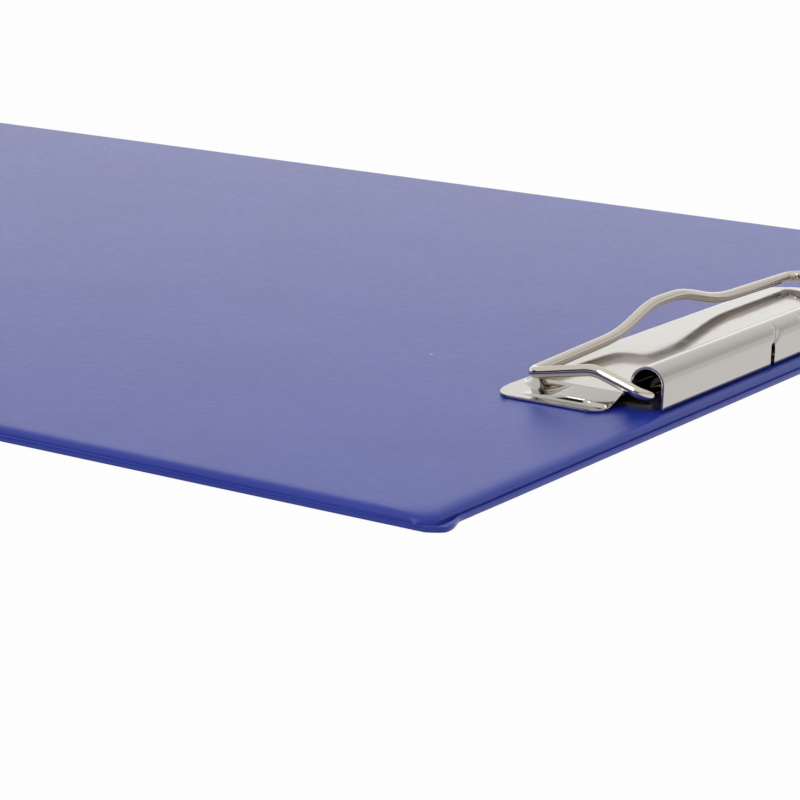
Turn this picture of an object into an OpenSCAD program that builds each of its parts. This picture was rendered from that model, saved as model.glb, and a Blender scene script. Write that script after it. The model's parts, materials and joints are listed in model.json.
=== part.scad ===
// A4 clipboard: a greyboard panel between two welded cover films, with a sprung
// sheet-metal clip that a wire bail opens. The origin is the middle of the
// underside, the clip is at the +Y end and +Z is up.

/* [Board] */
// Width of the board over its welded rim
board_w = 230; // [120:1:320]
// Length of the board over its welded rim
board_l = 320; // [180:1:450]
// Thickness of the greyboard core
core_t = 1.5; // [1.4:0.1:2.4]
// Thickness of each cover film
film_t = 0.25; // [0.2:0.05:0.4]
// Width of the welded rim outside the core
rim_w = 1.1; // [0.8:0.1:1.5]
// Radius of the board's corners
corner_r = 3.2; // [3:0.1:12]
// Radius of the front film over the core's edge
shoulder_r = 1; // [0.8:0.05:1.4]

/* [Clip] */
// Distance from the board's edge to the clip's back wall
wall_inset = 2.6; // [2.6:0.1:30]
// Thickness of the clip's sheet metal
sheet_t = 0.4; // [0.35:0.05:0.45]
// Length of the roll at the back of the clip
roll_w = 92.8; // [92.6:0.1:93.2]
// Outer radius of the roll
roll_r = 2.8; // [2.7:0.05:2.9]
// Height of the roll's centre above the board
roll_h = 3.8; // [3.7:0.05:4]
// Overall width of the jaw
jaw_w = 107; // [106.6:0.1:110]
// Depth of the jaw, from the back wall to its front edge
jaw_d = 25.9; // [25.5:0.1:27]
// Height of the raised panel's top above the board
panel_h = 2; // [1.9:0.05:2.2]
// Width of the raised panel along its foot
panel_w = 95; // [94.8:0.1:95.2]

/* [Bail] */
// Diameter of the bail's wire
wire_d = 1.9; // [1.8:0.05:2]
// Distance between the centre lines of the bail's arms
bail_w = 96; // [95.8:0.1:97]
// Distance of the bail's front bar from the back wall
bar_v = 21.8; // [21.5:0.1:22.5]
// Height of the front bar's centre above the board
bar_h = 3.4; // [3.2:0.05:4]
// Height of the finger hump's centre line above the board
hump_h = 6.8; // [6.4:0.1:9]

/* [Hinge] */
// Distance of the bail's axis from the face of the back wall
axis_v = 2.4; // [2.35:0.05:2.5]
// Height of the bail's axis above the board
axis_h = 2.7; // [2.65:0.05:2.8]
// Distance of the jaw's hinge pin from the face of the back wall
pin_v = 1.5; // [1.48:0.01:1.55]
// Height of the jaw's hinge pin above the board
pin_h = 2.9; // [2.85:0.05:3]
// Diameter of the hinge pin
pin_d = 1.2; // [1:0.05:1.2]
// Diameter of the spring wire
spring_wire_d = 0.4; // [0.3:0.05:0.4]
// Whole turns in each torsion spring
spring_turns = 10; // [6:1:14]

/* [Hidden] */
$fn = 48;

// Board
board_t = core_t + 2 * film_t;
dome_r = corner_r - rim_w;
core_r = dome_r - film_t;
edge_steps = 8;
core_edge = round_edge(core_r, film_t + core_t, shoulder_r - film_t);

// Clip frame: x across the board, y from the back wall towards the middle of
// the board, z above the board's face.
wall_y = board_l / 2 - wall_inset;
wall_foot = 0.4;
flange_gap = 0.1;
flange_v = 6.6;
flange_rear_r = 2.6;
flange_front_r = [7, 3.5];
corner_steps = 10;
blend_r = roll_h - panel_h;
blend_v = 2 * roll_r + blend_r;
step_run = 1.2;
step_r = 7;
step_steps = 12;
panel_top_w = panel_w - 2 * step_run;
panel_foot_v = jaw_d - 0.2;
bead_r = 1.9;
bead_rise = 0.42;
bead_x = 50.2;
bead_v = 15.3;
bead_l = 11.5;
bead_turn = 4;
slit_w = 0.7;
slit_x = 7.4;
slit_top = 4;
slit_slant = 62;
slit_slant_l = 3.2;

// Hinge
running = 0.05;
pin_l = 53.4;
knuckle_x = 10.5;
knuckle_w = 5;

// Base plate
plate_t = 0.6;
plate_w = 92;
plate_v = [1.6, 18];
plate_corner = 3;
pin_ear_x = 26.3;
pin_ear_r = 1;
bail_ear_x = [31.3, 42.3];
bail_ear_r = 1.7;
ear_steps = 10;
lance_w = 2.4;
lance_v = 4.3;

// Rivets
rivet_x = 28;
rivet_v = 11.5;
shank_r = 1.75;
hole_r = shank_r + running;
top_head_r = 3.2;
top_head_t = 0.5;
back_head_r = 3.6;

// Bail
leg_end_x = 29.5;
leg_seam_x = 45.5;
knee = [11.2, 5.2];
hump_foot_x = 18;
hump_top_x = 4;
hump_lean = 0.8;
wire_shy = 0.01;
wire_sides = 16;
bend_step = 9;

// Springs
spring_x = 15.8;
spring_pitch = 0.55;
spring_r = pin_d / 2 + spring_wire_d / 2 + 0.02;
spring_sides = 6;
steps_per_turn = 10;

nickel = "#c9c6c2";
zinc = "#a9a9a6";
film_blue = "#3d4aa0";

// ---------- Board ----------

// Points of a rounded upper edge, from its upright side at edge_r to its top.
function round_edge(edge_r, top, r) = [for (i = [0:edge_steps]) let (a = 90 * i / edge_steps)
    [edge_r - r + r * cos(a), top - r + r * sin(a)]];
function reversed(list) = [for (i = [len(list) - 1:-1:0]) list[i]];

// Carries a half section round the board: along the sides and about the corners.
module around_board() {
    x = board_w / 2 - corner_r;
    y = board_l / 2 - corner_r;
    for (side = [0, 1]) mirror([side, 0, 0])
        translate([x, y, 0]) rotate([90, 0, 0]) linear_extrude(2 * y) children();
    for (side = [0, 1]) mirror([0, side, 0])
        translate([-x, y, 0]) rotate([90, 0, 90]) linear_extrude(2 * x) children();
    for (sx = [0, 1]) for (sy = [0, 1]) mirror([sx, 0, 0]) mirror([0, sy, 0])
        translate([x, y, 0]) rotate_extrude(angle = 90) children();
}

module inside_corners(bottom, height) {
    w = board_w - 2 * corner_r;
    l = board_l - 2 * corner_r;
    translate([-w / 2, -l / 2, bottom]) cube([w, l, height]);
}

module at_rivets() {
    for (x = [-rivet_x, rivet_x]) translate([x, wall_y - rivet_v, 0]) children();
}

module rivet_holes(r) {
    at_rivets() translate([0, 0, -1]) cylinder(r = r, h = board_t + 2);
}

module board_core() {
    color("#b9a98c") difference() {
        union() {
            inside_corners(film_t, core_t);
            around_board()
                polygon(concat([[0, film_t], [core_r, film_t]], core_edge, [[0, film_t + core_t]]));
        }
        rivet_holes(hole_r);
    }
}

// The film covers the core's top and sides and turns out into the welded rim.
module front_cover() {
    color(film_blue) difference() {
        union() {
            inside_corners(film_t + core_t, film_t);
            around_board() polygon(concat(
                [[core_r, film_t], [corner_r, film_t], [corner_r, 2 * film_t], [dome_r, 2 * film_t]],
                round_edge(dome_r, board_t, shoulder_r),
                [[0, board_t], [0, film_t + core_t]],
                reversed(core_edge)
            ));
        }
        rivet_holes(hole_r);
    }
}

module back_cover() {
    color(film_blue) difference() {
        union() {
            inside_corners(0, film_t);
            around_board() square([corner_r, film_t]);
        }
        rivet_holes(back_head_r + running);
    }
}

// ---------- Clip ----------

module in_clip() {
    translate([0, wall_y, board_t]) mirror([0, 1, 0]) children();
}

// Extrudes a section drawn as (distance from the wall, height) across the clip.
module across(w, x = 0) {
    translate([x - w / 2, 0, 0]) rotate([90, 0, 90]) linear_extrude(w) children();
}

module both_sides() {
    children();
    mirror([1, 0, 0]) children();
}

module ring(inner, outer) {
    difference() {
        circle(outer);
        circle(inner);
    }
}

// Rectangle with four rounded corners.
module soft_rectangle(w, l, r) {
    translate([-w / 2 + r, 0]) square([w - 2 * r, l]);
    translate([-w / 2, r]) square([w, l - 2 * r]);
    for (x = [-w / 2 + r, w / 2 - r]) for (y = [r, l - r]) translate([x, y]) circle(r);
}

module roll_section() {
    translate([0, wall_foot]) square([sheet_t, roll_h - wall_foot]);
    intersection() {
        translate([roll_r, roll_h]) ring(roll_r - sheet_t, roll_r);
        translate([0, roll_h]) square([2 * roll_r, roll_r]);
    }
}

// The concave blend from the roll down to the raised panel.
module blend_section() {
    intersection() {
        translate([blend_v, roll_h]) ring(blend_r, blend_r + sheet_t);
        translate([blend_v - blend_r - sheet_t, panel_h - sheet_t])
            square([blend_r + sheet_t, blend_r + sheet_t]);
    }
}

// The pressed step between the flange and the raised panel, a smooth half wave
// of even thickness: x runs from the panel's edge outwards to the step's foot.
module step_section() {
    height = panel_h - flange_gap - sheet_t;
    middle = [for (i = [0:step_steps]) let (t = i / step_steps)
        [step_run * (1 - t), flange_gap + sheet_t / 2 + height * (1 - cos(180 * t)) / 2]];
    half = [for (i = [0:step_steps]) let (rise = height * PI / 2 * sin(180 * i / step_steps))
        [rise, step_run] / norm([rise, step_run]) * sheet_t / 2];
    polygon(concat(middle + half, reversed(middle - half)));
}

// Points of a quarter of an ellipse with radii r, starting at angle from.
function quarter(centre, r, from) = [for (i = [0:corner_steps]) let (a = from + 90 * i / corner_steps)
    centre + [r[0] * cos(a), r[1] * sin(a)]];

// The flange's outline: wide soft corners in front and tighter ones behind.
module flange_outline() {
    front = [jaw_w / 2 - flange_front_r[0], jaw_d - flange_front_r[1]];
    rear = [jaw_w / 2 - flange_rear_r, flange_v + flange_rear_r];
    rear_r = [flange_rear_r, flange_rear_r];
    polygon(concat(
        quarter(front, flange_front_r, 0), quarter([-front[0], front[1]], flange_front_r, 90),
        quarter([-rear[0], rear[1]], rear_r, 180), quarter(rear, rear_r, 270)
    ));
}

module flange_plate() {
    translate([0, 0, flange_gap]) linear_extrude(sheet_t) difference() {
        flange_outline();
        translate([0, -flange_v]) soft_rectangle(panel_w, panel_foot_v + flange_v, step_r);
    }
}

module panel_plate() {
    translate([0, 0, panel_h - sheet_t]) linear_extrude(sheet_t) intersection() {
        translate([0, -flange_v])
            soft_rectangle(panel_top_w, panel_foot_v + flange_v - step_run, step_r - step_run);
        translate([-jaw_w / 2, blend_v]) square([jaw_w, jaw_d]);
    }
}

module panel_steps() {
    side_x = panel_top_w / 2;
    front_v = panel_foot_v - step_run;
    straight_w = panel_w - 2 * step_r;
    across(straight_w) translate([front_v, 0]) step_section();
    both_sides() {
        translate([side_x, panel_foot_v - step_r, 0]) rotate([90, 0, 0])
            linear_extrude(panel_foot_v - step_r - flange_v) step_section();
        translate([panel_w / 2 - step_r, panel_foot_v - step_r, 0])
            rotate_extrude(angle = 90) translate([step_r - step_run, 0]) step_section();
    }
}

// Stiffening bead along each side of the jaw, set slightly outwards in front.
module bead() {
    centre_h = flange_gap + sheet_t + bead_rise - bead_r;
    translate([bead_x, bead_v, 0]) rotate([0, 0, -bead_turn]) intersection() {
        translate([0, 0, centre_h]) {
            translate([0, -bead_l / 2, 0]) rotate([-90, 0, 0]) cylinder(r = bead_r, h = bead_l);
            for (v = [-bead_l / 2, bead_l / 2]) translate([0, v, 0]) sphere(bead_r);
        }
        translate([-bead_r, -bead_l, flange_gap + sheet_t / 2])
            cube([2 * bead_r, 2 * bead_l, bead_r]);
    }
}

// Curl of the back wall's lower edge round the hinge pin.
module knuckle_section() {
    bore_r = pin_d / 2 + running;
    curl_r = bore_r + sheet_t / 2;
    start = [sheet_t / 2, wall_foot + sheet_t / 2];
    reach = [pin_v, pin_h] - start;
    lean = atan2(reach[1], reach[0]) - asin(curl_r / norm(reach));
    tangent_l = sqrt(norm(reach) ^ 2 - curl_r ^ 2);
    translate([pin_v, pin_h]) ring(bore_r, bore_r + sheet_t);
    translate(start) rotate(lean) translate([0, -sheet_t / 2]) square([tangent_l, sheet_t]);
    translate(start) circle(sheet_t / 2);
}

// Cut beside the wall's middle tab: straight up, then slanting to the middle.
module tab_slit() {
    translate([slit_x - slit_w / 2, -1, -1]) cube([slit_w, 2, slit_top + 1]);
    translate([slit_x, -1, slit_top]) rotate([0, -slit_slant, 0])
        translate([-slit_w / 2, 0, -slit_w / 2]) cube([slit_w, 2, slit_slant_l]);
}

module jaw_plate() {
    color(nickel) in_clip() {
        difference() {
            across(roll_w) roll_section();
            both_sides() tab_slit();
        }
        across(panel_top_w) blend_section();
        panel_plate();
        panel_steps();
        flange_plate();
        both_sides() bead();
        both_sides() across(knuckle_w, knuckle_x) knuckle_section();
    }
}

// Upright ear of the base plate: a round head of radius head_r on a foot, with
// a hole for a pin of radius r.
module ear_section(centre, head_r, r) {
    head = [for (i = [0:ear_steps]) let (a = 225 * i / ear_steps)
        centre + head_r * [cos(a), sin(a)]];
    difference() {
        polygon(concat(
            [[centre[0] + head_r, 0]], head,
            [[plate_v[0], centre[1] - head_r], [plate_v[0], 0]]
        ));
        translate(centre) circle(r + running);
    }
}

// Each ear is cut out of the plate and bent up beside the window that it left.
module base_plate() {
    color(zinc) in_clip() {
        difference() {
            linear_extrude(plate_t) translate([0, plate_v[0]])
                soft_rectangle(plate_w, plate_v[1] - plate_v[0], plate_corner);
            for (x = [-rivet_x, rivet_x]) translate([x, rivet_v, -1])
                cylinder(r = hole_r, h = plate_t + 2);
            both_sides() {
                translate([pin_ear_x - plate_t / 2 - lance_w, 0, -1])
                    cube([lance_w, lance_v, plate_t + 2]);
                for (x = bail_ear_x) translate([x + plate_t / 2, 0, -1])
                    cube([lance_w, lance_v, plate_t + 2]);
            }
        }
        both_sides() {
            across(plate_t, pin_ear_x) ear_section([pin_v, pin_h], pin_ear_r, pin_d / 2);
            for (x = bail_ear_x) across(plate_t, x)
                ear_section([axis_v, axis_h], bail_ear_r, wire_d / 2);
        }
    }
}

module hinge_pin() {
    color(zinc) in_clip() translate([-pin_l / 2, pin_v, pin_h]) rotate([0, 90, 0])
        cylinder(d = pin_d, h = pin_l);
}

// ---------- Bail ----------

function unit(v) = v / norm(v);
function turn(a, b) = acos(max(-1, min(1, a * b)));

// Points of the arc of radius r that rounds the corner b between a and c.
function corner_arc(a, b, c, r) =
    let (
        way = unit(b - a),
        bend = turn(way, unit(c - b)),
        inward = unit(unit(c - b) - (way * unit(c - b)) * way),
        centre = b - way * r * tan(bend / 2) + inward * r,
        steps = ceil(bend / bend_step)
    )
    [for (i = [0:steps]) let (t = bend * i / steps)
        centre + r * (sin(t) * way - cos(t) * inward)];

// A route of corners with each rounded to its own radius.
function rounded(route, radii) =
    let (last = len(route) - 1)
    concat(
        [route[0]],
        [for (i = [1:last - 1]) each corner_arc(route[i - 1], route[i], route[i + 1], radii[i])],
        [route[last]]
    );

// Tube swept along a route that never runs parallel to the direction beside.
module swept_wire(route, r, sides, beside) {
    last = len(route) - 1;
    rings = [for (i = [0:last]) let (
            along = unit(route[min(i + 1, last)] - route[max(i - 1, 0)]),
            out = unit(cross(along, beside)),
            up = cross(along, out)
        ) for (k = [0:sides - 1])
            route[i] + r * (cos(360 * k / sides) * out + sin(360 * k / sides) * up)];
    walls = [for (i = [0:last - 1]) for (k = [0:sides - 1]) let (
            a = i * sides + k,
            b = i * sides + (k + 1) % sides
        ) each [[a, a + sides, b], [b, a + sides, b + sides]]];
    first_cap = [for (k = [1:sides - 2]) [0, k, k + 1]];
    end = last * sides;
    last_cap = [for (k = [1:sides - 2]) [end, end + k + 1, end + k]];
    polyhedron(concat(rings), concat(walls, first_cap, last_cap));
}

// The bail runs from one leg round to the other; the legs are plain pins, and
// the bent wire between them starts just inside their outer ends.
module wire_bail() {
    arm_x = bail_w / 2;
    hump_v = bar_v + hump_lean;
    half = [
        [leg_seam_x, axis_v, axis_h], [arm_x, axis_v, axis_h], [arm_x, knee[0], knee[1]],
        [arm_x, bar_v, bar_h], [hump_foot_x, bar_v, bar_h], [hump_top_x, hump_v, hump_h],
    ];
    half_radii = [0, 2, 6, 2, 16, 12];
    count = len(half);
    route = concat(half, [for (i = [count - 1:-1:0]) [-half[i][0], half[i][1], half[i][2]]]);
    radii = concat(half_radii, [for (i = [count - 1:-1:0]) half_radii[i]]);
    color(nickel) in_clip() {
        swept_wire(rounded(route, radii), wire_d / 2 - wire_shy, wire_sides, [0, 0, 1]);
        both_sides() translate([leg_end_x, axis_v, axis_h]) rotate([0, 90, 0])
            cylinder(d = wire_d, h = leg_seam_x + 0.2 - leg_end_x);
    }
}

// ---------- Springs ----------

// Centre line of a torsion spring: a leg down behind the pin, the coil, and a
// leg forward and down to the base plate.
function spring_route(x) =
    let (
        sweep = 135 + 360 * spring_turns,
        steps = round(sweep / 360 * steps_per_turn),
        coil = [for (i = [0:steps]) let (a = 180 - sweep * i / steps)
            [x + spring_pitch * sweep / 360 * i / steps,
             pin_v + spring_r * cos(a), pin_h + spring_r * sin(a)]],
        leave = [0, 1, -1] / sqrt(2),
        drop = (coil[steps][2] - plate_t - spring_wire_d) * sqrt(2)
    )
    concat([[x, pin_v - spring_r, 1.1]], coil, [coil[steps] + leave * drop]);

module torsion_spring() {
    color(zinc) swept_wire(spring_route(spring_x), spring_wire_d / 2, spring_sides, [1, 0, 0]);
}

module spring_left() {
    in_clip() mirror([1, 0, 0]) torsion_spring();
}

module spring_right() {
    in_clip() torsion_spring();
}

// ---------- Rivets ----------

// Hollow rivet: a low domed head on the base plate, the shank through the
// board and a flat flange set flush in the back film.
module rivet(x) {
    top = board_t + plate_t;
    dome_r = (top_head_r ^ 2 + top_head_t ^ 2) / (2 * top_head_t);
    color(nickel) translate([x, wall_y - rivet_v, 0]) difference() {
        union() {
            cylinder(r = back_head_r, h = film_t);
            cylinder(r = shank_r, h = top + top_head_t / 2);
            intersection() {
                translate([0, 0, top + top_head_t - dome_r]) sphere(dome_r, $fn = 96);
                translate([0, 0, top]) cylinder(r = top_head_r + 1, h = top_head_t + 1);
            }
        }
        translate([0, 0, -1]) cylinder(r = shank_r - 0.5, h = top);
    }
}

module rivet_left() {
    rivet(-rivet_x);
}

module rivet_right() {
    rivet(rivet_x);
}

board_core();
front_cover();
back_cover();
base_plate();
hinge_pin();
jaw_plate();
wire_bail();
spring_left();
spring_right();
rivet_left();
rivet_right();
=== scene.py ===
import json
import math

import bmesh
import bpy
from mathutils import Matrix, Vector, noise


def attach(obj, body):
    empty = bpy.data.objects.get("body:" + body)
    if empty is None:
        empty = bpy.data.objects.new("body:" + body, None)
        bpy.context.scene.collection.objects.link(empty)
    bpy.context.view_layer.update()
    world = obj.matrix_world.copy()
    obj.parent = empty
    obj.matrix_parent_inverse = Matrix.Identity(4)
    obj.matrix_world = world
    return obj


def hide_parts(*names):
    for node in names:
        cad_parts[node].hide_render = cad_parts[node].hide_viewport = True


# An A4 clipboard in blue vinyl film with a nickel-plated wire-bail clip. The
# core, the hinge's plate and pin and the rivets come with the frame. The films,
# the pressed jaw, the bent wire and the springs are remade here, smoother and
# with the small irregularities of the real ones. Lengths are in millimetres
# until a piece is finished; u runs across the clip, v from its back wall
# towards the middle of the board and h up from the board's face.

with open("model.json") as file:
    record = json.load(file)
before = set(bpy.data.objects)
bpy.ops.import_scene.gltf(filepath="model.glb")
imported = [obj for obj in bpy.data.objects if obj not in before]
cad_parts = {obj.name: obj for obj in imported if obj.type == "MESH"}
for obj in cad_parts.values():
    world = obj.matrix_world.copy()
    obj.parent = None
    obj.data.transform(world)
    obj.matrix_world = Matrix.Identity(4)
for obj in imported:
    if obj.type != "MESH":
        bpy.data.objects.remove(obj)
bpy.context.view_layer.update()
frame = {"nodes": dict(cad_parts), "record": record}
scene = bpy.context.scene
MM = 0.001
# Faces that meet at more degrees than this are shaded with a sharp edge.
SHARP_FROM = 40

BOARD_W, BOARD_L, BOARD_T = 230, 320, 2.0
FILM_T = 0.24
WALL_Y = BOARD_L / 2 - 2.6
RIVET_PLACES = ((-28, WALL_Y - 11.5), (28, WALL_Y - 11.5))


# ---------- helpers ----------

def linear(code):
    """An sRGB hex colour as linear red, green, blue and alpha."""
    channels = [int(code[i:i + 2], 16) / 255 for i in (1, 3, 5)]
    return tuple(c / 12.92 if c <= 0.04045 else ((c + 0.055) / 1.055) ** 2.4
                 for c in channels) + (1.0,)


def new_tree(name):
    """An empty material and its node tree."""
    material = bpy.data.materials.new(name)
    material.use_nodes = True
    material.node_tree.nodes.clear()
    return material, material.node_tree


def add(tree, kind, settings=None, **inputs):
    """Adds a node with its settings; an input is a value or a socket to link."""
    node = tree.nodes.new(kind)
    for key, value in (settings or {}).items():
        setattr(node, key, value)
    for key, value in inputs.items():
        socket = node.inputs[int(key[1:]) if key[0] == "i" and key[1:].isdigit()
                             else key.replace("_", " ")]
        if isinstance(value, bpy.types.NodeSocket):
            tree.links.new(value, socket)
        else:
            socket.default_value = value
    return node


def finish_tree(tree, shader):
    """Shows the shader as the material's surface."""
    add(tree, "ShaderNodeOutputMaterial", Surface=shader.outputs[0])


def per_mm(size):
    """Texture scale at which one feature is about size millimetres."""
    return 1000 / size


def mix(a, b, share):
    """The value a share of the way from a to b."""
    return a + (b - a) * share


def held(t):
    """The number t kept between 0 and 1."""
    return min(max(t, 0), 1)


def ease(t):
    """A smooth rise from 0 to 1 while t goes from 0 to 1."""
    t = held(t)
    return t * t * (3 - 2 * t)


def in_clip(u, v, h):
    """A place in the clip's frame as a place on the board, in millimetres."""
    return Vector((u, WALL_Y - v, BOARD_T + h))


def place(name, data):
    """An object at the origin, in the scene."""
    obj = bpy.data.objects.new(name, data)
    scene.collection.objects.link(obj)
    return obj


def sheet_of(bm, name):
    """Turns a bmesh in millimetres into a smooth object."""
    bmesh.ops.scale(bm, vec=(MM, MM, MM), verts=bm.verts)
    for face in bm.faces:
        face.smooth = True
    mesh = bpy.data.meshes.new(name)
    bm.to_mesh(mesh)
    bm.free()
    return place(name, mesh)


def wire_of(name, route, radius, sides):
    """A round wire along a route in millimetres, as a smooth mesh."""
    line = bpy.data.curves.new(name, "CURVE")
    line.dimensions = "3D"
    line.bevel_depth = radius * MM
    line.bevel_resolution = sides // 4 - 1
    line.use_fill_caps = True
    spline = line.splines.new("POLY")
    spline.points.add(len(route) - 1)
    for point, spot in zip(spline.points, route):
        point.co = (*(spot * MM), 1)
    obj = place(name, line)
    mesh = bpy.data.meshes.new_from_object(
        obj.evaluated_get(bpy.context.evaluated_depsgraph_get()))
    bpy.data.objects.remove(obj)
    bpy.data.curves.remove(line)
    return place(name, mesh)


def fit(obj, body, slot, *nodes):
    """Gives a finished piece its material, its body and the nodes it replaces."""
    obj.data.materials.clear()
    obj.data.materials.append(MATERIALS[slot])
    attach(obj, body)
    if nodes:
        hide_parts(*nodes)


def cut(obj, cutters):
    """Takes the cutters' shapes, a bmesh in millimetres, out of a piece."""
    bmesh.ops.scale(cutters, vec=(MM, MM, MM), verts=cutters.verts)
    mesh = bpy.data.meshes.new("cutters")
    cutters.to_mesh(mesh)
    cutters.free()
    tool = place("cutters", mesh)
    knife = obj.modifiers.new("cut", "BOOLEAN")
    knife.operation = "DIFFERENCE"
    knife.solver = "EXACT"
    knife.use_self = True
    knife.object = tool
    settle(obj)
    bpy.data.objects.remove(tool)


def settle(obj):
    """Makes the modifiers' result the piece's own mesh, smooth but for its edges."""
    shape = bpy.data.meshes.new_from_object(
        obj.evaluated_get(bpy.context.evaluated_depsgraph_get()))
    old = obj.data
    shape.set_sharp_from_angle(angle=math.radians(SHARP_FROM))
    shape.name = old.name
    obj.modifiers.clear()
    obj.data = shape
    bpy.data.meshes.remove(old)


def thicken(obj, thickness, offset=-1, even=True):
    """Gives a sheet its gauge, measured square to the surface if it is even."""
    wall = obj.modifiers.new("gauge", "SOLIDIFY")
    wall.thickness = thickness * MM
    wall.offset = offset
    wall.use_even_offset = even


def soften(obj, width):
    """Rounds the sheet's cut edges."""
    edge = obj.modifiers.new("edges", "BEVEL")
    edge.width = width * MM
    edge.segments = 2
    edge.limit_method = "ANGLE"
    edge.angle_limit = math.radians(50)
    edge.harden_normals = True


# ---------- materials ----------

def vinyl_film():
    """Calendered PVC film with an embossed leather grain: satin, a clear
    royal blue face on, and a pale grey-blue sheen at a low angle. The grain
    is about 0.7 mm; the finest pores are left to the roughness. A few pale
    specks lie far apart, painted highlights for glints on small wrinkles."""
    material, tree = new_tree("calendered_vinyl_film_blue")
    coords = add(tree, "ShaderNodeTexCoord").outputs["Object"]
    grain = add(tree, "ShaderNodeTexVoronoi", {"feature": "SMOOTH_F1"},
                Vector=coords, Scale=per_mm(0.7), Smoothness=0.6)
    creases = add(tree, "ShaderNodeTexNoise", Vector=coords, Scale=per_mm(1.6), Detail=3.0)
    relief = add(tree, "ShaderNodeMath", {"operation": "MULTIPLY_ADD"},
                 i0=creases.outputs["Fac"], i1=1.4, i2=grain.outputs["Distance"])
    mottle = add(tree, "ShaderNodeTexNoise", Vector=coords, Scale=per_mm(26), Detail=3.0)
    tone = add(tree, "ShaderNodeValToRGB", Fac=mottle.outputs["Fac"])
    tone.color_ramp.elements[0].position = 0.35
    tone.color_ramp.elements[0].color = linear("#1b2e93")
    tone.color_ramp.elements[1].position = 0.7
    tone.color_ramp.elements[1].color = linear("#22369b")
    # Pale specks far apart: painted highlights that stand for glints on the film's small
    # wrinkles.
    specks = add(tree, "ShaderNodeTexVoronoi", Vector=coords, Scale=per_mm(9), Randomness=1.0)
    chance = add(tree, "ShaderNodeSeparateColor", Color=specks.outputs["Color"])
    few = add(tree, "ShaderNodeMath", {"operation": "GREATER_THAN"},
              i0=chance.outputs[0], i1=0.93)
    small = add(tree, "ShaderNodeMath", {"operation": "LESS_THAN"},
                i0=specks.outputs["Distance"], i1=0.03)
    painted_glint = add(tree, "ShaderNodeMath", {"operation": "MULTIPLY"},
                i0=small.outputs[0], i1=few.outputs[0])
    colour = add(tree, "ShaderNodeMix", {"data_type": "RGBA"}, i0=painted_glint.outputs[0],
                 i6=tone.outputs["Color"], i7=linear("#aab0d8"))
    gloss = add(tree, "ShaderNodeMapRange", Value=creases.outputs["Fac"],
                To_Min=0.29, To_Max=0.37)
    bump = add(tree, "ShaderNodeBump", Height=relief.outputs[0],
               Strength=0.3, Distance=0.00004)
    shader = add(tree, "ShaderNodeBsdfPrincipled", Base_Color=colour.outputs[2],
                 Roughness=gloss.outputs["Result"], IOR=1.42, Normal=bump.outputs["Normal"])
    finish_tree(tree, shader)
    return material


def plated(name, colour, roughness, ripple_mm, ripple):
    """Bright plating on steel: a faint waviness and hazy patches in the gloss."""
    material, tree = new_tree(name)
    coords = add(tree, "ShaderNodeTexCoord").outputs["Object"]
    haze = add(tree, "ShaderNodeTexNoise", Vector=coords, Scale=per_mm(3.5), Detail=4.0)
    gloss = add(tree, "ShaderNodeMapRange", Value=haze.outputs["Fac"], From_Min=0.3,
                From_Max=0.75, To_Min=roughness, To_Max=roughness * 1.7)
    wave = add(tree, "ShaderNodeTexNoise", Vector=coords, Scale=per_mm(ripple_mm), Detail=1.0)
    bump = add(tree, "ShaderNodeBump", Height=wave.outputs["Fac"],
               Strength=ripple, Distance=0.0001)
    shader = add(tree, "ShaderNodeBsdfPrincipled", Base_Color=linear(colour), Metallic=1.0,
                 Roughness=gloss.outputs["Result"], Normal=bump.outputs["Normal"])
    finish_tree(tree, shader)
    return material


def greyboard():
    """Pressed grey cardboard made of waste paper: matt, with short fibres."""
    material, tree = new_tree("pressed_greyboard")
    coords = add(tree, "ShaderNodeTexCoord").outputs["Object"]
    fibre = add(tree, "ShaderNodeTexNoise", Vector=coords, Scale=per_mm(0.8), Detail=5.0)
    tone = add(tree, "ShaderNodeValToRGB", Fac=fibre.outputs["Fac"])
    tone.color_ramp.elements[0].color = linear("#8d8371")
    tone.color_ramp.elements[1].color = linear("#b5ab97")
    shader = add(tree, "ShaderNodeBsdfPrincipled", Base_Color=tone.outputs["Color"],
                 Roughness=0.9)
    finish_tree(tree, shader)
    return material


MATERIALS = {
    "cover_film": vinyl_film(),
    "greyboard": greyboard(),
    "nickel_plated_steel": plated("nickel_plated_sheet_steel", "#b9b5b1", 0.07, 6, 0.1),
    "nickel_plated_wire": plated("nickel_plated_drawn_wire", "#cac2b9", 0.05, 2, 0.06),
    # The zinc plate's grey is darkened well past bare zinc: painted shade for the plate seen in
    # shadow inside the roll.
    "zinc_plated_steel": plated("zinc_plated_sheet_steel", "#6f6d68", 0.36, 1, 0.4),
    "spring_steel": plated("oiled_spring_wire", "#6f675d", 0.3, 0.6, 0.3),
    "rivet_nickel": plated("nickel_plated_rivet", "#c6bfb8", 0.16, 1.5, 0.3),
}

for part in frame["record"]["subparts"]:
    mesh = frame["nodes"][part["node"]].data
    mesh.materials.clear()
    mesh.materials.append(MATERIALS[part["material_slot"]])


# ---------- the two cover films ----------

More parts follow.
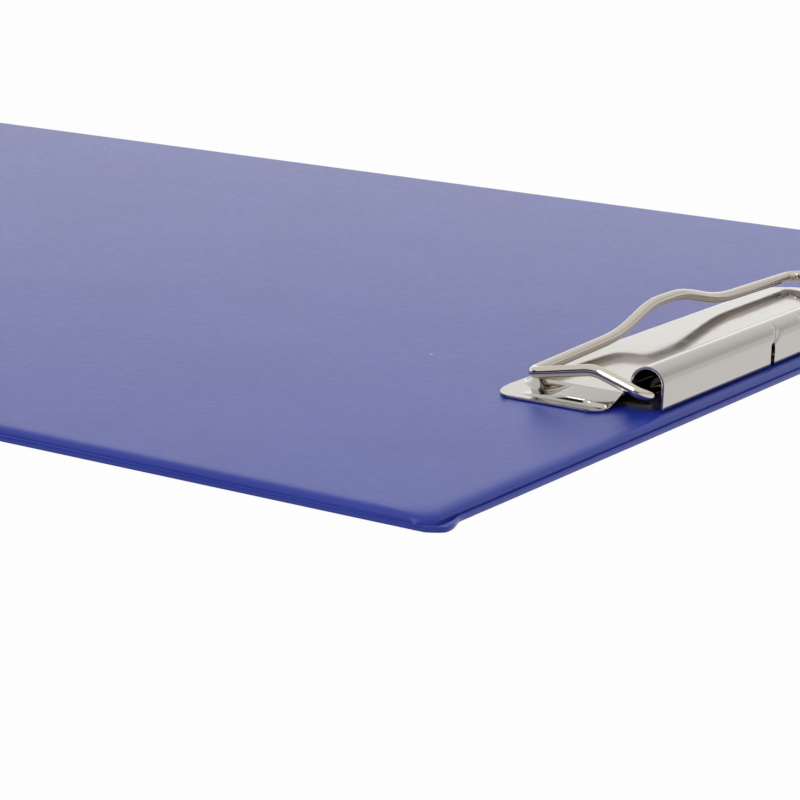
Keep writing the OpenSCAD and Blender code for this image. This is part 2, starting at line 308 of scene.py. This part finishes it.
# Each ring of the front film, from the weld to the face: its inset and height
# on the long sides, the same on the short sides, and its corner radius. The
# rim stands close against the long sides and apart from the short ones, where
# a deep crease divides it from the board.
FRONT_RINGS = (
    (0.05, 0.25, 0.05, 0.25, 1.7),
    (0.01, 0.38, 0.00, 0.42, 1.7),
    (0.00, 0.56, 0.03, 0.62, 1.7),
    (0.02, 0.74, 0.10, 0.78, 1.7),
    (0.08, 0.90, 0.24, 0.87, 1.8),
    (0.16, 0.98, 0.46, 0.84, 2.0),
    (0.23, 1.00, 0.70, 0.66, 2.3),
    (0.27, 1.04, 0.90, 0.47, 2.6),
    (0.28, 1.11, 0.98, 0.42, 2.6),
    (0.32, 1.20, 1.01, 0.58, 2.6),
    (0.40, 1.35, 1.05, 0.90, 2.6),
    (0.52, 1.51, 1.14, 1.25, 2.7),
    (0.68, 1.67, 1.36, 1.54, 2.8),
    (0.92, 1.82, 1.76, 1.78, 3.2),
    (1.28, 1.93, 2.36, 1.92, 4.2),
    (1.80, 1.98, 3.10, 1.98, 6.5),
    (2.90, 2.00, 4.30, 2.00, 9.0),
)
BACK_RINGS = (
    (0.05, 0.25, 0.05, 0.25, 1.7),
    (0.04, 0.14, 0.04, 0.14, 1.7),
    (0.10, 0.04, 0.10, 0.04, 1.7),
    (0.26, 0.00, 0.26, 0.00, 1.7),
    (2.00, 0.00, 2.00, 0.00, 2.4),
    (5.00, 0.00, 5.00, 0.00, 8.0),
)
FRONT_HOLE_R, BACK_HOLE_R = 1.8, 3.65
# Places round a side's half and a corner, and how much closer together the
# places on a side get towards the corner.
SIDE_STEPS, CORNER_STEPS, CROWDING = 44, 12, 2.2
# How far in the short side's crease lies, how far its weld is trimmed back,
# and the degrees round the corner within which the short side's form is whole.
CREASE_IN, TRIMMED, TURNED = 1.0, 0.3, 60
# The lobe beside each corner: how far from the corner it is full, begins to
# fade and ends, and how far it stands out past the board's end.
LOBE_FULL, LOBE_FADES, LOBE_ENDS, LOBE = 2.2, 3, 7.5, 1.0
# The wrinkles near the corners: their rise, their depth inwards and how slowly
# they die away; and the rise and depth of the long sway along the whole rim.
WRINKLE_RISE, WRINKLE_IN, WRINKLE_REACH, SWAY = 0.2, 0.10, 9, 0.03


def station(k):
    """The k-th place round a quarter of the board, from the middle of a long
    side to the middle of a short one: how far it is along the long side, the
    angle round the corner in degrees, and how far along the short side."""
    if k <= SIDE_STEPS:
        return 1 - (1 - k / SIDE_STEPS) ** CROWDING, 0, 0
    if k <= SIDE_STEPS + CORNER_STEPS:
        return 1, 90 * (k - SIDE_STEPS) / CORNER_STEPS, 0
    return 1, 90, ((k - SIDE_STEPS - CORNER_STEPS) / SIDE_STEPS) ** CROWDING


def film_point(k, flip_x, flip_y, ring, weight):
    """A place on a ring of the film. Weight is how much the rim's waviness
    and the corner's lobe move it: 1 at the weld and 0 on the face."""
    long_in, long_z, short_in, short_z, radius = ring
    up, angle, back = station(k)
    turn = math.radians(angle)
    centre_x = BOARD_W / 2 - long_in - radius
    centre_y = BOARD_L / 2 - short_in - radius
    x = centre_x * (1 - back) + radius * math.cos(turn)
    y = centre_y * up + radius * math.sin(turn)
    # The long side's heights begin to change to the short side's before the corner.
    turned = ease(angle / TURNED)
    changed = max(turned, 0.3 * ease((y - 90) / 60) + 0.4 * ease((y - 142) / 16))
    z = mix(long_z, short_z, changed)
    spot = Vector((x * flip_x, y * flip_y, 0))
    from_corner = BOARD_W / 2 - x
    swell = (ease(from_corner / LOBE_FULL)
             * (1 - ease((from_corner - LOBE_FADES) / (LOBE_ENDS - LOBE_FADES))))
    y += weight * mix(-TRIMMED, LOBE, swell) * turned
    # Wrinkles about 2 mm across near the corner, and a long sway everywhere.
    wrinkled = math.exp(-max(from_corner + BOARD_L / 2 - y - 4, 0) / WRINKLE_REACH)
    ripple = noise.noise(spot / 1.9 + Vector((0, 0, z * 0.8)))
    pucker = 0.4 + noise.noise(spot / 2.3 + Vector((7, 3, z)))
    sway = noise.noise(spot / 14)
    lift = weight * (WRINKLE_RISE * wrinkled * ripple + SWAY * sway)
    inward = max(weight * (WRINKLE_IN * wrinkled * pucker + SWAY * (1 + sway)), 0)
    x -= inward * math.cos(turn)
    y -= inward * math.sin(turn)
    # The weld itself stays flat and nothing rises above the face.
    if z > FILM_T + 0.02:
        z = min(z + lift, BOARD_T)
    return Vector((x * flip_x, y * flip_y, z))


def film(name, rings):
    """A cover film's outer face: rings lofted inwards from the weld."""
    quarter = 2 * SIDE_STEPS + CORNER_STEPS
    bm = bmesh.new()
    number = bm.verts.layers.int.new("number")
    loop = bmesh.ops.create_circle(bm, segments=4 * quarter, radius=1)["verts"]
    for n, vert in enumerate(loop):
        vert[number] = n
    edges = bm.edges[:]
    for i, ring in enumerate(rings):
        if i:
            grown = bmesh.ops.extrude_edge_only(bm, edges=edges)["geom"]
            loop = [part for part in grown if isinstance(part, bmesh.types.BMVert)]
            known = set(loop)
            edges = [part for part in grown if isinstance(part, bmesh.types.BMEdge)
                     and known.issuperset(part.verts)]
        weight = max(1 - ring[2] / CREASE_IN, 0)
        for vert in loop:
            corner, k = divmod(vert[number], quarter)
            flip_x, flip_y = ((1, 1), (-1, 1), (-1, -1), (1, -1))[corner]
            vert.co = film_point(quarter - k if corner % 2 else k, flip_x, flip_y, ring, weight)
    bmesh.ops.contextual_create(bm, geom=edges)
    bmesh.ops.recalc_face_normals(bm, faces=bm.faces)
    return sheet_of(bm, name)


def rivet_drills(radius):
    """The holes for the rivets, as cutters."""
    drills = bmesh.new()
    for x, y in RIVET_PLACES:
        bmesh.ops.create_cone(drills, cap_ends=True, segments=48, radius1=radius, radius2=radius,
                              depth=10, matrix=Matrix.Translation((x, y, 0)))
    return drills


def cover_films():
    """The two films, welded at the rim and cut open for the rivets."""
    for name, rings, node, drill in (
            ("front_film", FRONT_RINGS, "front_cover", FRONT_HOLE_R),
            ("back_film", BACK_RINGS, "back_cover", BACK_HOLE_R)):
        sheet = film(name, rings)
        thicken(sheet, FILM_T, even=False)
        cut(sheet, rivet_drills(drill))
        fit(sheet, "board", "cover_film", node)


# ---------- the jaw ----------

# The sheet, its wall and roll, the panel and the blend to it, and the flange.
SHEET_T, EDGE_ROUND = 0.4, 0.11
ROLL_HALF, ROLL_R, ROLL_H, WALL_FOOT = 46.3, 2.8, 3.8, 0.4
PANEL_H, PANEL_HALF, BLEND_R = 2.0, 46.1, 1.8
FLANGE_TOP, FLANGE_HALF, FLANGE_FRONT, FLANGE_REAR = 0.5, 53.5, 25.9, 6.71
# The flange's front corners, wider than deep, its round rear corners, and the
# columns, as u, from which the outer ones close up to follow them.
FRONT_CORNER, FRONT_CORNER_DEEP, REAR_CORNER = 7, 3.5, 2.6
FRONT_BASE, REAR_BASE = 40, 47.7
# The step round the panel: its foot in front and at the corners, and its run
# in front and at the sides.
FOOT_V, FOOT_R, STEP_RUN, SIDE_RUN = 25.7, 7.0, 1.5, 1.9
# The fold beside the panel: its crest's place, height and outer run; where the
# crest bends inwards behind, over what length and how far; and where the crest
# and the slope beside the panel end in front, each after its own fading length.
CREST, CREST_H, CREST_RUN = 51.2, 0.78, 0.22
BEND_V, BEND_RUN, BEND_IN = 11, 4.4, 2.2
CREST_END, CREST_FADE, SLOPE_END, SLOPE_FADE = 21.5, 8, 20, 6
# Columns of the jaw's sheet, as u and how many columns lead up to it, close
# together at the folds beside the panel and at the slits.
COLUMN_RUNS = ((-53.5, 0), (-52, 14), (-50.8, 16), (-48.5, 8), (-45.5, 18), (-39.5, 12),
               (-8.6, 22), (-4.2, 22), (4.2, 6), (8.6, 22), (39.5, 22), (45.5, 12),
               (48.5, 18), (50.8, 8), (52, 16), (53.5, 14))
JAW_COLUMNS = sum(count for _, count in COLUMN_RUNS)
# Its rows: up the wall, over the roll, through the blend and along the panel,
# closer together in front. The flange begins within the blend.
WALL_ROWS, ROLL_ROWS, BLEND_ROWS, PANEL_ROWS, FRONT_ROWS = 8, 28, 12, 30, 36
JAW_ROWS = WALL_ROWS + ROLL_ROWS + BLEND_ROWS + PANEL_ROWS + FRONT_ROWS
FLANGE_ROW = WALL_ROWS + ROLL_ROWS + 9
FRONT_FROM = 17.5
SLIT_U, SLIT_WIDTH, SLIT_TOP = 7.6, 1.5, 3.8
# The dent over each slit runs from the first place, as u and h, to the second.
DENT_FROM, DENT_TO, DENT_DEPTH, DENT_R = (7.5, 3.6), (5.2, 5.5), 0.42, 0.5


def jaw_section(row):
    """The middle section's outer face at a row, as distance and height."""
    blend_v = 2 * ROLL_R + BLEND_R
    if row <= WALL_ROWS:
        return 0, mix(WALL_FOOT, ROLL_H, row / WALL_ROWS)
    row -= WALL_ROWS
    if row <= ROLL_ROWS:
        a = math.pi * (1 - row / ROLL_ROWS)
        return ROLL_R + ROLL_R * math.cos(a), ROLL_H + ROLL_R * math.sin(a)
    row -= ROLL_ROWS
    if row <= BLEND_ROWS:
        a = math.pi * (1 + row / BLEND_ROWS / 2)
        return blend_v + BLEND_R * math.cos(a), ROLL_H + BLEND_R * math.sin(a)
    row -= BLEND_ROWS
    if row <= PANEL_ROWS:
        return mix(blend_v, FRONT_FROM, row / PANEL_ROWS), PANEL_H
    return mix(FRONT_FROM, FLANGE_FRONT, (row - PANEL_ROWS) / FRONT_ROWS), PANEL_H


def fold_height(u, v, drop):
    """Height above the flange of the fold beside the panel: it falls slowly
    outwards from the panel to a crest with a steep outer side. The crest
    follows the flange's rear corner and fades out in front."""
    behind = max(BEND_V - v, 0) / BEND_RUN
    crest = CREST - BEND_IN * (1 - math.sqrt(max(1 - behind ** 2, 0)))
    tall = CREST_H * held((CREST_END - v) / CREST_FADE) * (1 - 0.6 * ease(behind))
    share = held((abs(u) - PANEL_HALF) / (crest - PANEL_HALF))
    fall = held((abs(u) - crest) / (CREST_RUN + 0.9 * behind))
    return mix(drop * ease((SLOPE_END - v) / SLOPE_FADE), tall, share) * (1 - fall)


def jaw_height(u, v, crown):
    """Height of the sheet's top at a place on the panel, its step or the flange."""
    side = abs(u)
    if side > PANEL_HALF:
        side = PANEL_HALF + (side - PANEL_HALF) * STEP_RUN / SIDE_RUN
    out_u = side - (PANEL_HALF + STEP_RUN - FOOT_R)
    out_v = v - (FOOT_V - FOOT_R)
    reach = math.hypot(max(out_u, 0), max(out_v, 0)) + min(max(out_u, out_v), 0)
    drop = crown - FLANGE_TOP
    step = drop * ease((FOOT_R - reach) / STEP_RUN)
    if abs(u) <= PANEL_HALF:
        return FLANGE_TOP + step
    return FLANGE_TOP + max(step, fold_height(u, v, drop))


def flange_half(v):
    """Half the flange's width, with its wide front and tighter rear corners."""
    before = (v - (FLANGE_FRONT - FRONT_CORNER_DEEP)) / FRONT_CORNER_DEEP
    if before > 0:
        return FLANGE_HALF - FRONT_CORNER * (1 - math.sqrt(max(1 - before ** 2, 0)))
    behind = max(FLANGE_REAR + REAR_CORNER - v, 0)
    return FLANGE_HALF - REAR_CORNER + math.sqrt(max(REAR_CORNER ** 2 - behind ** 2, 0))


def dented(u, v, h):
    """The soft dent that runs up into the roll from the top of each slit."""
    if v >= ROLL_R:
        return v, h
    share = held((h - DENT_FROM[1]) / (DENT_TO[1] - DENT_FROM[1]))
    apart = math.hypot(abs(u) - mix(DENT_FROM[0], DENT_TO[0], share),
                       h - mix(DENT_FROM[1], DENT_TO[1], share))
    depth = DENT_DEPTH * math.exp(-(apart / DENT_R) ** 2)
    inward = Vector((ROLL_R - v, min(ROLL_H - h, 0))).normalized()
    return v + depth * inward.x, h + depth * inward.y


def jaw_sheet():
    """The pressed jaw: one sheet from the wall's foot over the roll to the
    flange, shaped from a grid, with the slits beside the wall's middle tab."""
    bm = bmesh.new()
    bmesh.ops.create_grid(bm, x_segments=JAW_COLUMNS, y_segments=JAW_ROWS, size=1)
    columns = [COLUMN_RUNS[0][0]]
    for (start, _), (end, count) in zip(COLUMN_RUNS, COLUMN_RUNS[1:]):
        columns += [mix(start, end, (i + 1) / count) for i in range(count)]
    for vert in bm.verts:
        vert.co.x = columns[round((vert.co.x + 1) / 2 * JAW_COLUMNS)]
        vert.co.y = (vert.co.y + 1) / 2 * JAW_ROWS
    beside = [face for face in bm.faces if face.calc_center_median().y < FLANGE_ROW
              and abs(face.calc_center_median().x) > ROLL_HALF]
    bmesh.ops.delete(bm, geom=beside, context="FACES")
    for vert in bm.verts:
        u, row = vert.co.x, round(vert.co.y)
        v, h = jaw_section(row)
        if row >= FLANGE_ROW:
            base = FRONT_BASE if v > FLANGE_FRONT - FRONT_CORNER_DEEP else REAR_BASE
            if abs(u) > base:
                share = (abs(u) - base) / (FLANGE_HALF - base)
                u = math.copysign(mix(base, flange_half(v), share), u)
            h = jaw_height(u, v, h)
        else:
            v, h = dented(u, v, h)
        vert.co = in_clip(u, v, h)
    bmesh.ops.recalc_face_normals(bm, faces=bm.faces)
    if sum(face.normal.z * face.calc_area() for face in bm.faces) < 0:
        bmesh.ops.reverse_faces(bm, faces=bm.faces)
    sheet = sheet_of(bm, "jaw_sheet")
    thicken(sheet, SHEET_T)
    soften(sheet, EDGE_ROUND)
    slits = bmesh.new()
    for side in (-1, 1):
        spot = in_clip(SLIT_U * side, 0, SLIT_TOP - 2.5)
        bmesh.ops.create_cube(slits, size=1, matrix=Matrix.Translation(spot)
                              @ Matrix.Diagonal((SLIT_WIDTH, 2.4, 5, 1)))
    cut(sheet, slits)
    fit(sheet, "jaw", "nickel_plated_steel", "jaw_plate")


PIN_V, PIN_H = 1.5, 2.9
# The knuckles' ends, as u; the place in the wall where they start, as v and h;
# the straight lead from there to the winding; and the winding's degrees.
KNUCKLE_ENDS, KNUCKLE_FOOT = (8.7, 13), (0.2, 0.6)
KNUCKLE_LEAD, KNUCKLE_WOUND = (0, -1.865, 1.665), 300


def jaw_knuckles():
    """The curls of the wall's lower edge that hold the hinge pin: each starts
    inside the wall, slants up to the pin's height and winds round it."""
    bm = bmesh.new()
    axis = in_clip(0, PIN_V, PIN_H)
    for side in (-1, 1):
        ends = [bm.verts.new(in_clip(u * side, *KNUCKLE_FOOT)) for u in KNUCKLE_ENDS]
        edge = bm.edges.new(ends)
        lead = bmesh.ops.extrude_edge_only(bm, edges=[edge])["geom"]
        verts = [part for part in lead if isinstance(part, bmesh.types.BMVert)]
        bmesh.ops.translate(bm, verts=verts, vec=KNUCKLE_LEAD)
        edge = [part for part in lead if isinstance(part, bmesh.types.BMEdge)
                and set(part.verts) == set(verts)]
        bmesh.ops.spin(bm, geom=verts + edge, cent=axis, axis=(-1, 0, 0),
                       angle=math.radians(KNUCKLE_WOUND), steps=40)
    bmesh.ops.remove_doubles(bm, verts=bm.verts, dist=0.0005)
    bmesh.ops.recalc_face_normals(bm, faces=bm.faces)
    curls = sheet_of(bm, "jaw_knuckles")
    thicken(curls, SHEET_T - 0.02, 0)
    fit(curls, "jaw", "nickel_plated_steel")


# ---------- wires ----------

def rounded(route, radii):
    """A route of corners, each rounded to its own radius."""
    points = [route[0]]
    for before, corner, after, radius in zip(route, route[1:], route[2:], radii):
        way, leave = (corner - before).normalized(), (after - corner).normalized()
        bend = way.angle(leave)
        inward = (leave - way * way.dot(leave)).normalized()
        centre = corner - way * radius * math.tan(bend / 2) + inward * radius
        steps = max(round(math.degrees(bend) / 4), 1)
        for i in range(steps + 1):
            t = bend * i / steps
            points.append(centre + radius * (math.sin(t) * way - math.cos(t) * inward))
    return points + [route[-1]]


def wire_loop():
    """The bail as bent by hand: its near corner droops on to the flange, and
    the bar climbs a little to the finger hump, which leans outwards."""
    route = [in_clip(*spot) for spot in (
        (29.5, 2.4, 2.7), (48, 2.0, 2.45), (48, 10.8, 5.2), (48, 21.8, 3.0),
        (18.5, 22.3, 3.8), (5.5, 23.2, 6.8), (-5.5, 23.2, 6.8), (-18.5, 22.4, 3.9),
        (-48, 22.1, 3.6), (-48, 11.2, 5.2), (-48, 2.4, 2.7), (-29.5, 2.4, 2.7))]
    radii = (2, 6, 2, 42, 28, 28, 42, 2, 6, 2)
    fit(wire_of("bail_wire", rounded(route, radii), radius=0.94, sides=32),
        "bail", "nickel_plated_wire", "wire_bail")


def torsion_springs():
    """A spring on each side of the knuckles: a leg behind the pin that stays
    clear of the lifted jaw's wall, ten turns and a bit, and a leg forward and
    down to the base plate."""
    turns, radius, pitch, start = 10, 0.82, 0.55, 15.8
    leg_v, leg_h, plate_top = 1.22, 1.1, 1.0
    sweep = 135 + 360 * turns
    steps = sweep // 15
    for side, node in ((-1, "spring_left"), (1, "spring_right")):
        route = [in_clip(side * start, leg_v, leg_h)]
        for i in range(steps + 1):
            a = math.radians(180 - sweep * i / steps)
            route.append(in_clip(side * (start + pitch * sweep / 360 * i / steps),
                                 PIN_V + radius * math.cos(a),
                                 PIN_H + radius * math.sin(a)))
        drop = route[-1].z - BOARD_T - plate_top
        route.append(route[-1] + Vector((0, -drop, -drop)))
        fit(wire_of(f"{node}_coil", route, radius=0.2, sides=12),
            "board", "spring_steel", node)


cover_films()
jaw_sheet()
jaw_knuckles()
wire_loop()
torsion_springs()


# ---------- studio ----------

def studio_floor():
    """A plain white table top that shows white and keeps the board's shadow,
    a hair below the board so that the two never lie in one plane."""
    reach, gap = 6, 0.00005
    bm = bmesh.new()
    bmesh.ops.create_grid(bm, x_segments=1, y_segments=1, size=reach,
                          matrix=Matrix.Translation((0, 0, -gap)))
    mesh = bpy.data.meshes.new("studio_floor")
    bm.to_mesh(mesh)
    bm.free()
    floor = place("studio_floor", mesh)
    material, tree = new_tree("studio_white")
    rays = add(tree, "ShaderNodeLightPath")
    seen = add(tree, "ShaderNodeMath", {"operation": "MAXIMUM"},
               i0=rays.outputs["Is Camera Ray"], i1=rays.outputs["Is Glossy Ray"])
    seen = add(tree, "ShaderNodeMath", {"operation": "MAXIMUM"},
               i0=seen.outputs[0], i1=rays.outputs["Is Transmission Ray"])
    share = add(tree, "ShaderNodeMath", {"operation": "MULTIPLY"}, i0=seen.outputs[0], i1=0.96)
    paint = add(tree, "ShaderNodeBsdfDiffuse", Color=linear("#d8d8d6"))
    white = add(tree, "ShaderNodeEmission", Color=linear("#ffffff"), Strength=1.0)
    finish_tree(tree, add(tree, "ShaderNodeMixShader", i0=share.outputs[0],
                          i1=paint.outputs[0], i2=white.outputs[0]))
    mesh.materials.append(material)


def studio_world():
    """A light tent, white round the horizon and a little greyer above. Low
    down it is dimmer behind the clip, and the dark room shows on one side."""
    world = bpy.data.worlds.new("studio_world")
    scene.world = world
    world.use_nodes = True
    tree = world.node_tree
    tree.nodes.clear()
    rays = add(tree, "ShaderNodeLightPath")
    sky = add(tree, "ShaderNodeTexCoord").outputs["Generated"]
    parts = add(tree, "ShaderNodeSeparateXYZ", Vector=sky)
    rise = add(tree, "ShaderNodeValToRGB", Fac=parts.outputs["Z"])
    stops = rise.color_ramp.elements
    stops[0].position, stops[1].position = 0.06, 1.0
    for height in (0.2, 0.3, 0.5, 0.75):
        stops.new(height)
    for stop, light in zip(stops, (1.25, 1.2, 0.92, 0.90, 0.92, 1.0)):
        stop.color = (light, light, light * 0.98, 1)
    toward = add(tree, "ShaderNodeVectorMath", {"operation": "DOT_PRODUCT"},
                 i0=sky, i1=(0.86, -0.50, 0.0))
    smooth = {"interpolation_type": "SMOOTHSTEP"}
    side = add(tree, "ShaderNodeMapRange", smooth, Value=toward.outputs["Value"],
               From_Min=0.35, From_Max=0.75)
    low = add(tree, "ShaderNodeMapRange", smooth, Value=parts.outputs["Z"],
              From_Min=0.44, From_Max=0.34)
    room = add(tree, "ShaderNodeMath", {"operation": "MULTIPLY"},
               i0=side.outputs[0], i1=low.outputs[0])
    shade = add(tree, "ShaderNodeMix", {"data_type": "RGBA"}, i0=room.outputs[0],
                i6=rise.outputs["Color"], i7=(0.02, 0.018, 0.016, 1))
    beside = add(tree, "ShaderNodeMapRange", smooth, Value=parts.outputs["Y"],
                 From_Min=-0.1, From_Max=0.45, To_Min=1.0, To_Max=0.70)
    level = add(tree, "ShaderNodeMapRange", smooth, Value=parts.outputs["Z"],
                From_Min=0.35, From_Max=0.75)
    power = add(tree, "ShaderNodeMix", {"data_type": "FLOAT"}, i0=level.outputs[0],
                i2=beside.outputs[0], i3=1.0)
    tent = add(tree, "ShaderNodeBackground", Color=shade.outputs[2], Strength=power.outputs[0])
    white = add(tree, "ShaderNodeBackground", Color=(1, 1, 1, 1), Strength=1.0)
    both = add(tree, "ShaderNodeMixShader", i0=rays.outputs["Is Camera Ray"],
               i1=tent.outputs[0], i2=white.outputs[0])
    add(tree, "ShaderNodeOutputWorld", Surface=both.outputs[0])


def soft_lamp(name, spot, aim, width, height, watts):
    """A softbox that looks at a place."""
    lamp = bpy.data.lights.new(name, "AREA")
    lamp.shape = "RECTANGLE"
    lamp.size = width
    lamp.size_y = height
    lamp.energy = watts
    holder = place(name, lamp)
    holder.location = spot
    holder.rotation_euler = (Vector(aim) - Vector(spot)).to_track_quat("-Z", "Y").to_euler()


def camera():
    """The photograph's own viewing angle, solved from the board's edges."""
    yaw, pitch, roll = (math.radians(a) for a in (31.878, 13.924, 2.0))
    ahead = Vector((-math.cos(yaw) * math.cos(pitch), -math.sin(yaw) * math.cos(pitch),
                    -math.sin(pitch)))
    level = Vector((-math.sin(yaw), math.cos(yaw), 0))
    upright = level.cross(ahead)
    right = level * math.cos(roll) + upright * math.sin(roll)
    up = upright * math.cos(roll) - level * math.sin(roll)
    lens = bpy.data.cameras.new("photo_camera")
    lens.sensor_width = 36
    lens.lens = 117.97
    lens.clip_start = 0.01
    lens.clip_end = 50
    holder = place("photo_camera", lens)
    spot = Vector((386.34, 323.06, 95.86)) * MM
    turn = Matrix((right, up, -ahead)).transposed().to_4x4()
    holder.matrix_world = Matrix.Translation(spot) @ turn
    scene.camera = holder


studio_floor()
studio_world()
soft_lamp("key_softbox", spot=(1.007, -0.09, 0.682), aim=(0.05, 0.14, 0),
          width=0.24, height=0.95, watts=2.8)
camera()
scene.view_settings.view_transform = "Standard"
